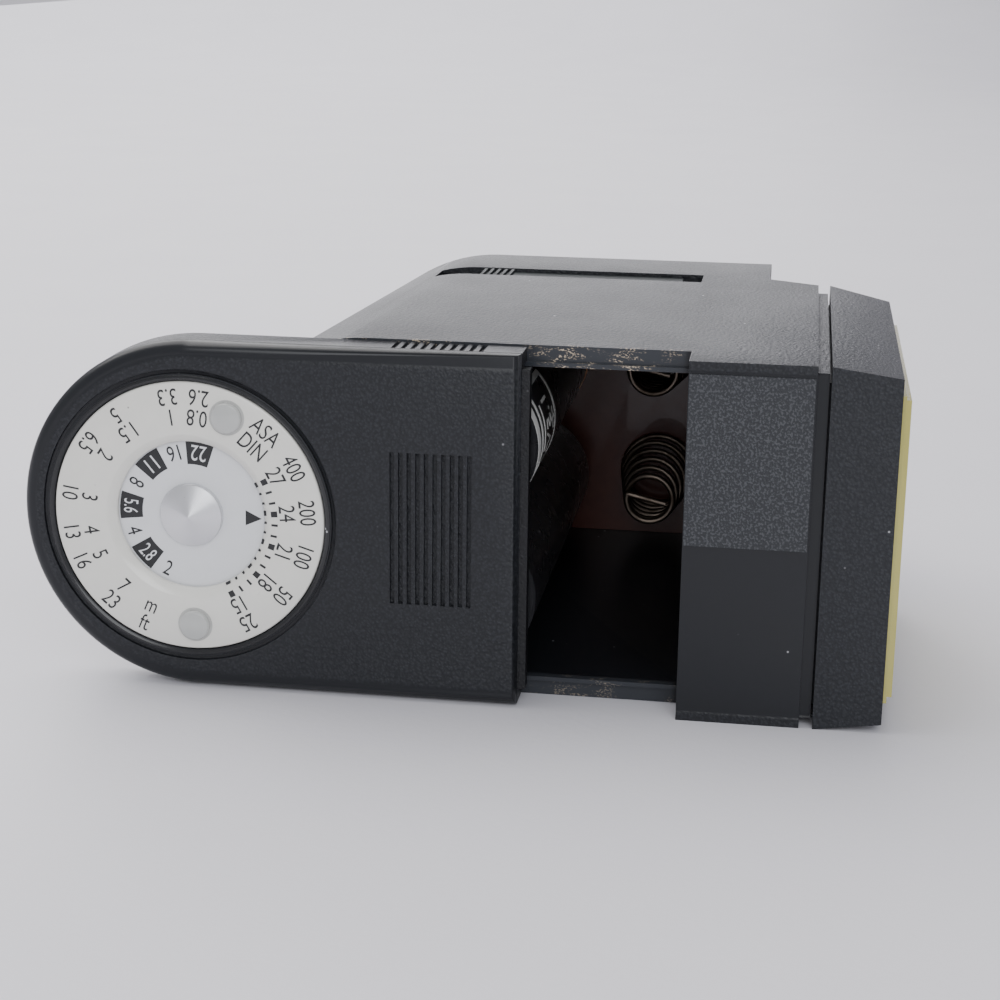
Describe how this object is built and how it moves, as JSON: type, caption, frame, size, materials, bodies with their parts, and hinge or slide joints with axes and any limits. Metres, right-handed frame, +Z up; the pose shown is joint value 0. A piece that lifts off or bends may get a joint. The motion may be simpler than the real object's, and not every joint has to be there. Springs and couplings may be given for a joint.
{
  "type": "electronic flash gun",
  "caption": "Pocket electronic flash lying on its side, with a sliding battery cover part open, an exposure dial, a lamp head and a shoe foot.",
  "frame": {"origin": "centre of the whole object's footprint, on the surface it lies on", "axes": "+X the way the light goes, +Z up from the narrow side it lies on, -Y the side with the dial"},
  "size_m": [0.087, 0.0658, 0.036],
  "materials": {
    "housing_plastic": "fine leather grain, dark charcoal",
    "panel_grain": "coarse speckled grain",
    "cover_plastic": "leather grain with a smooth rim",
    "contact_brass": "plated",
    "disc_white": "cool white, printed",
    "rivet_metal": "spun satin",
    "spring_steel": "bright",
    "scale_white": "warm white, printed",
    "ring_clear": "clear plastic",
    "board_brown": "resin board",
    "spring_wire": "tarnished",
    "cell_sleeve": "printed sleeve",
    "cell_sleeve_white": "printed sleeve",
    "cell_metal": "plated",
    "bezel_plastic": "fine grain",
    "window_amber": "frosted yellow",
    "reflector_metal": "polished",
    "tube_glass": "clear",
    "circuit_brown": "resin paper",
    "ferrite": "sintered",
    "winding": "enamelled wire",
    "switch_metal": "stamped",
    "sleeve_blue": "shrink sleeve",
    "slider_plastic": "smooth",
    "lamp_orange": "tinted",
    "neon_glass": "clear",
    "button_red": "smooth",
    "switch_grey": "moulded",
    "foot_plastic": "smooth"
  },
  "bodies": {
    "housing": {"main_housing": "housing_plastic", "panel_label": "panel_grain", "contact_board": "board_brown", "spring_upper": "spring_wire", "spring_lower": "spring_wire", "plus_contact_upper": "contact_brass", "plus_contact_lower": "contact_brass", "cell_upper": "cell_sleeve", "cell_lower": "cell_sleeve_white", "cell_cap_upper": "cell_metal", "cell_cap_lower": "cell_metal", "bezel": "bezel_plastic", "window": "window_amber", "reflector": "reflector_metal", "flash_tube": "tube_glass", "tube_end_caps": "switch_metal", "circuit_board": "circuit_brown", "transformer_core": "ferrite", "transformer_winding": "winding", "trigger_coil": "winding", "switch_body": "switch_metal", "capacitor": "cell_metal", "capacitor_sleeve": "sleeve_blue", "ready_lens": "lamp_orange", "neon_lamp": "neon_glass", "button_spring": "spring_wire", "test_switch": "switch_grey", "shoe_foot": "foot_plastic", "foot_contact": "contact_brass", "foot_screws": "spring_steel"},
    "cover": {"battery_cover": "cover_plastic", "bridge_contact_upper": "contact_brass", "bridge_contact_lower": "contact_brass", "aperture_disc": "disc_white", "dial_rivet": "rivet_metal", "dial_clip": "spring_steel"},
    "ring": {"scale_ring": "ring_clear", "scale_print": "scale_white"},
    "slider": {"power_slider": "slider_plastic"},
    "button": {"test_button": "button_red"}
  },
  "joints": [
    {"name": "cover_slide", "type": "slide", "parent": "housing", "child": "cover", "axis": [1, 0, 0], "range_m": [0, 0.01565]},
    {"name": "ring_turn", "type": "hinge", "parent": "cover", "child": "ring", "pos_m": [-0.0263, -0.03198, 0.018], "axis": [0, -1, 0], "range_deg": [-28, 58]},
    {"name": "power_slide", "type": "slide", "parent": "housing", "child": "slider", "axis": [1, 0, 0], "range_m": [0, 0.002]},
    {"name": "test_press", "type": "slide", "parent": "housing", "child": "button", "axis": [1, 0, 0], "range_m": [0, 0.0012], "stiffness_N_per_m": 200, "springref_m": -0.001, "deforming": ["button_spring"]}
  ]
}
